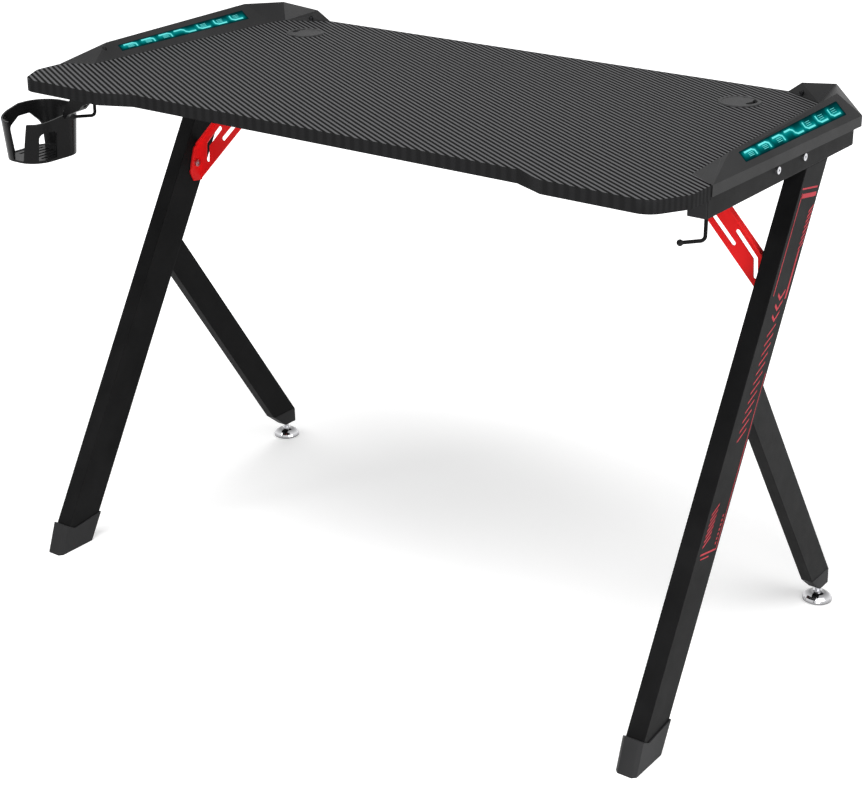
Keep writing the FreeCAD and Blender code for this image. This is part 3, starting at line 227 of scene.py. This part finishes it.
TUBE_EDGE = 0.002
DOME_TALL = max(vert.co.z for vert in nodes["leveller_dome_right"].data.vertices)
LAMINATE = laminate()
FRAME_BLACK = powder_coat("frame_black", grey(0.006), grey(0.009), 0.45, specular=0.035, edge=TUBE_EDGE)
BRACE_RED = powder_coat("brace_red", (0.80, 0.013, 0.014), (0.90, 0.018, 0.019), 0.38, 0.08, 0.08)
STRIPE_RED = powder_coat("stripe_red", (0.36, 0.022, 0.034), (0.44, 0.030, 0.044), 0.45, 0.03)
PLASTIC = moulded("plastic_black", grey(0.020), grey(0.028), 0.5, 0.16, specular=0.08)
GLOSS = moulded("plastic_gloss", grey(0.0065), grey(0.0105), 0.24, 0.04, coat=0.02, specular=0.06)
HOUSING = moulded("bar_plastic", grey(0.010), grey(0.0145), 0.42, 0.12, specular=0.1)
RUBBER = moulded("rubber_black", grey(0.010), grey(0.018), 0.7, 0.2, specular=0.1)
CIRCUIT = moulded("circuit_white", (0.55, 0.57, 0.55), (0.66, 0.68, 0.66), 0.4, 0.02)
# The chrome domes carry painted reflection bands by height, up to the dome's top.
CHROME = plated("chrome", (0.72, 0.72, 0.74), 0.10, 0.01, DOME_TALL)
STEEL = plated("bolt_steel", (0.50, 0.50, 0.52), 0.28, 0.05)
DARK_SCREW = plated("screw_dark", (0.05, 0.05, 0.055), 0.35, 0.05)
WINDOW = glow("window_teal", (0.0, 0.020, 0.022), 0.6, (0.0, 0.020, 0.022))
TRACE = glow("trace_lines", (0.18, 0.90, 0.88), 1.0, (0.0, 0.03, 0.03))
HALO = halo()

# Material of each node, and width of its rounded edges, by the start of its name.
BY_STEM = {
    "desktop": LAMINATE, "desktop_screws": STEEL,
    "side_rail": FRAME_BLACK, "rail_end_plugs": PLASTIC, "cross_beam": FRAME_BLACK,
    "beam_bolts": STEEL, "beam_nuts": STEEL, "brace": BRACE_RED, "brace_bolts": STEEL,
    "main_leg": FRAME_BLACK, "foot_cap": PLASTIC, "rear_leg": FRAME_BLACK, "rear_leg_block": PLASTIC,
    "leveller_stud": STEEL, "leveller_dome": CHROME, "leveller_pad": RUBBER,
    "grommet_sleeve": PLASTIC, "grommet_lid": PLASTIC,
    "light_bar_housing": HOUSING, "light_bar_window": WINDOW, "light_bar_led_board": CIRCUIT,
    "light_bar_inlet": PLASTIC, "light_bar_screws": DARK_SCREW,
    "cup_holder": GLOSS, "cup_holder_screws": DARK_SCREW,
    "headphone_hook": FRAME_BLACK, "hook_tip": RUBBER,
}
EDGE = {"desktop": 0.0012, "foot_cap": 0.0012, "rail_end_plugs": 0.0012, "rear_leg_block": 0.001,
        "light_bar_housing": 0.0007, "cup_holder": 0.0007, "brace": 0.0005,
        "grommet_sleeve": 0.0004, "grommet_lid": 0.0004}
EDGE_ANGLE = math.radians(32)
WELD_GAP = 0.00001


def stem_of(name):
    """The longest key that a node's name starts with."""
    return max((stem for stem in BY_STEM if name.startswith(stem)), key=len)


def soften(obj, width):
    """Small rounded edges on a node."""
    weld = obj.modifiers.new("weld", "WELD")
    weld.merge_threshold = WELD_GAP
    bevel = obj.modifiers.new("soft_edges", "BEVEL")
    bevel.width = width
    bevel.segments = 2
    bevel.limit_method = "ANGLE"
    bevel.angle_limit = EDGE_ANGLE
    bevel.harden_normals = True


for name, obj in nodes.items():
    stem = stem_of(name)
    obj.data.materials.clear()
    obj.data.materials.append(BY_STEM[stem])
    if stem in EDGE:
        soften(obj, EDGE[stem])


# Thin pieces laid on flat faces
def lay(name, data, material):
    """A mesh as a piece that belongs to the frame."""
    piece = bpy.data.objects.new(name, data)
    scene.collection.objects.link(piece)
    data.materials.append(material)
    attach(piece, "frame")


def slabs(name, outlines, depth, material):
    """One piece of thin slabs, each raised from a polygon of points along its own normal."""
    mesh = bmesh.new()
    for corners in outlines:
        face = mesh.faces.new([mesh.verts.new(point) for point in corners])
        face.normal_update()
        lift = face.normal * depth
        for item in bmesh.ops.extrude_face_region(mesh, geom=[face])["geom"]:
            if isinstance(item, bmesh.types.BMVert):
                item.co += lift
    bmesh.ops.recalc_face_normals(mesh, faces=mesh.faces)
    data = bpy.data.meshes.new(name)
    mesh.to_mesh(data)
    mesh.free()
    lay(name, data, material)


# Lit windows: a row of bent marks with a soft light around them.
# A mark has (along, up) points in its cell of the window: a bold line, and fine lines beside it.
BEND = [(0.06, 0.75), (0.54, 0.75), (0.69, 0.58), (0.69, 0.25)]
STEP = [(-0.06, 0.75), (0.34, 0.75), (0.48, 0.60), (0.52, 0.40), (0.66, 0.25), (1.06, 0.25)]
FINE = [[(0.22, up), (0.53, up)] for up in (0.30, 0.43, 0.56)]
BOLD_WIDE = 0.0024
FINE_WIDE = 0.0006
LINE_OVERLAP = 0.3
MARGIN = 0.03
MARK_LIFT = 0.0003
MARK_THICK = 0.0002
HALO_LIFT = 0.0002
HALO_STEPS, HALO_ROWS = 110, 10
HALO_RIM = 0.004
GLOW_FAR, GLOW_NEAR, GLOW_REACH = 0.24, 0.72, 0.006
# How near points lie to a window's outer face to be on it, and how far apart its corners are at least.
FACE_DEPTH = 0.0004
CORNER_GAP = 0.001


def half_turn(line):
    """A line turned half round in its cell."""
    return [(1 - along, 1 - up) for along, up in line]


MARKS = [(BEND, FINE)] * 3 + [(STEP, [])] + [(half_turn(BEND), [half_turn(line) for line in FINE])] * 3


def window_corners(node):
    """Corners of a window's outer face, low and high at the front and at the back, and its normal."""
    mesh = nodes[node].data
    outer = max(mesh.polygons, key=lambda face: face.area * max(0, face.normal.z)).normal.copy()
    top = max(v.co.dot(outer) for v in mesh.vertices)
    points = []
    for v in mesh.vertices:
        if v.co.dot(outer) > top - FACE_DEPTH and all((v.co - p).length > CORNER_GAP for p in points):
            points.append(v.co.copy())
    points.sort(key=lambda p: p.y)
    front = sorted(points[:2], key=lambda p: p.z)
    back = sorted(points[-2:], key=lambda p: p.z)
    return (*front, *back), outer


def gap_to(point, start, stop):
    """Distance from a point to a straight piece of line."""
    run = stop - start
    share = max(0.0, min(1.0, (point - start).dot(run) / run.length_squared))
    return (point - start - run * share).length


def line_outline(start, stop, wide, normal):
    """Corners of a straight line of some width, a little longer than its run."""
    ahead = (stop - start).normalized()
    across = normal.cross(ahead) * wide / 2
    reach = ahead * wide * LINE_OVERLAP
    return [start - reach - across, stop + reach - across, stop + reach + across, start - reach + across]


def window_halo(name, spot, runs, length, width):
    """A thin sheet over the window whose points are brighter near the bold lines and dark at its rim."""
    points, light = [], []
    for i in range(HALO_STEPS + 1):
        for j in range(HALO_ROWS + 1):
            along, up = i / HALO_STEPS, j / HALO_ROWS
            here = spot(along, up, HALO_LIFT)
            near = min(gap_to(here, start, stop) for start, stop in runs)
            rim = min(min(along, 1 - along) * length, min(up, 1 - up) * width)
            level = GLOW_FAR + GLOW_NEAR * math.exp(-(near / GLOW_REACH) ** 2)
            points.append(here)
            light.append(min(1.0, rim / HALO_RIM) * level)
    row = HALO_ROWS + 1
    firsts = [i * row + j for i in range(HALO_STEPS) for j in range(HALO_ROWS)]
    data = bpy.data.meshes.new(name)
    data.from_pydata(points, [], [(k, k + row, k + row + 1, k + 1) for k in firsts])
    data.attributes.new("light", "FLOAT", "POINT").data.foreach_set("value", light)
    lay(name, data, HALO)


def light_window(side, which):
    """Marks and soft light over one window of a light bar."""
    corners, normal = window_corners("light_bar_window_%s_%s" % (which, side))
    low_front, high_front, low_back, high_back = corners

    def spot(along, up, lift):
        low = low_front.lerp(low_back, along)
        high = high_front.lerp(high_back, along)
        return low.lerp(high, up) + normal * lift

    def runs_of(shape, cell):
        """Straight runs of a line in its cell."""
        step = (1 - 2 * MARGIN) / len(MARKS)
        line = [spot(MARGIN + step * (cell + along), up, MARK_LIFT) for along, up in shape]
        return list(zip(line, line[1:]))

    bold_runs, fine_runs = [], []
    for cell, (bold, fine) in enumerate(MARKS):
        bold_runs += runs_of(bold, cell)
        for shape in fine:
            fine_runs += runs_of(shape, cell)
    outlines = [line_outline(*run, BOLD_WIDE, normal) for run in bold_runs]
    outlines += [line_outline(*run, FINE_WIDE, normal) for run in fine_runs]
    slabs("light_traces_%s_%s" % (which, side), outlines, MARK_THICK, TRACE)
    length = (low_back - low_front).length
    width = (high_front - low_front).length
    window_halo("light_halo_%s_%s" % (which, side), spot, bold_runs, length, width)


for side in SIDES:
    for which in ("outer", "inner"):
        light_window(side, which)


# Leg stripes: plain red lines, hatching, dots and chevrons on the outer face of each main leg.
STRIPE_LIFT = 0.00003
STRIPE_THICK = 0.00015
SAME_LEVEL = 0.0001


def leg_face(side):
    """Corners of a main leg's outer face: front and back at its foot, then front and back at its top."""
    points = [vert.co for vert in nodes["main_leg_" + side].data.vertices]
    reach = max(abs(p.x) for p in points)
    outer = [p for p in points if abs(p.x) > reach - SAME_LEVEL]
    corners = []
    for level in (min(p.z for p in outer), max(p.z for p in outer)):
        row = sorted((p for p in outer if abs(p.z - level) < SAME_LEVEL), key=lambda p: p.y)
        corners += [row[0], row[-1]]
    return corners


def leg_spot(face, across, z):
    """A point of that face at a height: across 0 is its front edge, 1 its back edge."""
    front_foot, back_foot, front_top, back_top = face
    share = (z - front_foot.z) / (front_top.z - front_foot.z)
    return front_foot.lerp(front_top, share).lerp(back_foot.lerp(back_top, share), across)


def upright(across, wide, low, high):
    """A bar along the leg, as (across, z) corners."""
    return [(across, low), (across + wide, low), (across + wide, high), (across, high)]


def slanted(left, right, z, rise, tall):
    """A bar across the leg that rises towards the back."""
    return [(left, z), (right, z + rise), (right, z + rise + tall), (left, z + tall)]


def stack(bar, count, pitch):
    """Copies of a bar, each higher than the one before."""
    return [[(across, z + pitch * i) for across, z in bar] for i in range(count)]


TOP_LINES = [slanted(0.10, 0.88, 0.695, -0.007, 0.0022), slanted(0.13, 0.90, 0.684, -0.007, 0.0055)]
SIDE_LINES = [upright(0.14, 0.03, 0.566, 0.690), upright(0.80, 0.07, 0.552, 0.612),
              upright(0.91, 0.025, 0.248, 0.460)]
FOOT_LINES = [slanted(0.18, 0.92, 0.255, -0.008, 0.0022), slanted(0.24, 0.62, 0.249, -0.004, 0.0015)]
BACK_HATCH = stack(slanted(0.78, 0.95, 0.612, 0.006, 0.003), count=8, pitch=0.0065)
FOOT_HATCH = stack(slanted(0.18, 0.43, 0.264, 0.008, 0.0026), count=7, pitch=0.0064)
FOOT_DOTS = stack(upright(0.78, 0.05, 0.256, 0.259), count=7, pitch=0.0055)
COLUMN = stack(slanted(0.42, 0.72, 0.385, 0.010, 0.0026), count=12, pitch=0.0115)
CHEVRONS = stack(slanted(0.40, 0.56, 0.536, -0.008, 0.004), count=3, pitch=0.013)
CHEVRONS += stack(slanted(0.56, 0.72, 0.528, 0.008, 0.004), count=3, pitch=0.013)
LEG_BARS = TOP_LINES + SIDE_LINES + FOOT_LINES + BACK_HATCH + FOOT_HATCH + FOOT_DOTS + COLUMN + CHEVRONS


def leg_stripes(side):
    """All the bars on one main leg, as one piece."""
    face = leg_face(side)
    outward = Vector((math.copysign(1, face[0].x), 0, 0))
    outlines = []
    for bar in LEG_BARS:
        points = [leg_spot(face, across, z) + outward * STRIPE_LIFT for across, z in bar]
        if (points[1] - points[0]).cross(points[2] - points[0]).dot(outward) < 0:
            points.reverse()
        outlines.append(points)
    slabs("leg_stripes_" + side, outlines, STRIPE_THICK, STRIPE_RED)


for side in SIDES:
    leg_stripes(side)


# Floor and background
FLOOR_WIDE = 30
FLOOR_DROP = 0.0002
FLOOR_GREY = 0.8
FLOOR_LIFT = 0.42
FLOOR_NEAR, FLOOR_FAR = 0.8, 2.4
SOFT_LIGHT = 0.22


def seen_directly(tree):
    """One where a ray comes from the camera, a mirror or glass, and nothing for soft light."""
    path = tree.nodes.new("ShaderNodeLightPath")
    total = path.outputs["Is Camera Ray"]
    for name in ("Is Glossy Ray", "Is Transmission Ray"):
        larger = tree.nodes.new("ShaderNodeMath")
        larger.operation = "MAXIMUM"
        tree.links.new(total, larger.inputs[0])
        tree.links.new(path.outputs[name], larger.inputs[1])
        total = larger.outputs["Value"]
    return total


def pick(tree, unseen, seen):
    """One shader for rays that see it directly, another for soft light."""
    mixed = tree.nodes.new("ShaderNodeMixShader")
    tree.links.new(seen_directly(tree), mixed.inputs["Fac"])
    tree.links.new(unseen, mixed.inputs[1])
    tree.links.new(seen, mixed.inputs[2])
    return mixed.outputs["Shader"]


def floor_white():
    """Matte white that keeps the desk's shadow, with a glow of its own that grows away from the desk."""
    material = bpy.data.materials.new("floor_white")
    material.use_nodes = True
    tree = material.node_tree
    tree.nodes.clear()
    new = tree.nodes.new
    link = tree.links.new
    matte = new("ShaderNodeBsdfDiffuse")
    matte.inputs["Color"].default_value = (FLOOR_GREY, FLOOR_GREY, FLOOR_GREY, 1)
    away = new("ShaderNodeVectorMath")
    away.operation = "LENGTH"
    link(new("ShaderNodeNewGeometry").outputs["Position"], away.inputs[0])
    rise = new("ShaderNodeMapRange")
    span = {"From Min": FLOOR_NEAR, "From Max": FLOOR_FAR, "To Min": FLOOR_LIFT, "To Max": 1.0}
    for socket, value in span.items():
        rise.inputs[socket].default_value = value
    link(away.outputs["Value"], rise.inputs["Value"])
    lift = new("ShaderNodeEmission")
    link(rise.outputs["Result"], lift.inputs["Strength"])
    dark = new("ShaderNodeEmission")
    dark.inputs["Strength"].default_value = 0
    total = new("ShaderNodeAddShader")
    link(matte.outputs["BSDF"], total.inputs[0])
    link(pick(tree, dark.outputs["Emission"], lift.outputs["Emission"]), total.inputs[1])
    link(total.outputs["Shader"], new("ShaderNodeOutputMaterial").inputs["Surface"])
    return material


def background(tree, strength):
    """Plain white light from all around."""
    node = tree.nodes.new("ShaderNodeBackground")
    node.inputs["Color"].default_value = (1, 1, 1, 1)
    node.inputs["Strength"].default_value = strength
    return node.outputs["Background"]


bpy.ops.mesh.primitive_plane_add(size=FLOOR_WIDE, location=(0, 0, -FLOOR_DROP))
floor = bpy.context.object
floor.name = "floor"
floor.data.materials.append(floor_white())

world = scene.world or bpy.data.worlds.new("studio")
scene.world = world
world.use_nodes = True
tree = world.node_tree
tree.nodes.clear()
white = pick(tree, background(tree, SOFT_LIGHT), background(tree, 1.0))
tree.links.new(white, tree.nodes.new("ShaderNodeOutputWorld").inputs["Surface"])


# Light and camera
def area_light(name, place, aim, size, power):
    """A rectangular lamp turned towards a point, with its power in watts."""
    data = bpy.data.lights.new(name, "AREA")
    data.shape = "RECTANGLE"
    data.size, data.size_y = size
    data.energy = power
    lamp = bpy.data.objects.new(name, data)
    lamp.location = place
    lamp.rotation_euler = (Vector(aim) - Vector(place)).to_track_quat("-Z", "Y").to_euler()
    scene.collection.objects.link(lamp)


area_light("key_right", place=(3.0, -0.4, 3.0), aim=(0.2, 0, 0.5), size=(3.0, 3.0), power=110)
area_light("top", place=(-0.4, -1.0, 3.2), aim=(0, 0, 0.7), size=(2.6, 1.8), power=113)
area_light("front_fill", place=(2.4, -2.6, 1.3), aim=(0.4, 0, 0.5), size=(1.6, 1.6), power=42)

EYE_PLACE = (1.55197, -2.15, 1.41707)
LOOK_DOWN = 19.971
LOOK_LEFT = 35.812
camera = bpy.data.cameras.new("camera")
camera.sensor_fit = "HORIZONTAL"
camera.sensor_width = 36
camera.lens = 79.427
camera.shift_y = -0.1072
camera.clip_end = 100
eye = bpy.data.objects.new("camera", camera)
eye.location = EYE_PLACE
eye.rotation_euler = (math.radians(90 - LOOK_DOWN), 0, math.radians(LOOK_LEFT))
scene.collection.objects.link(eye)
scene.camera = eye
scene.view_settings.view_transform = "Standard"
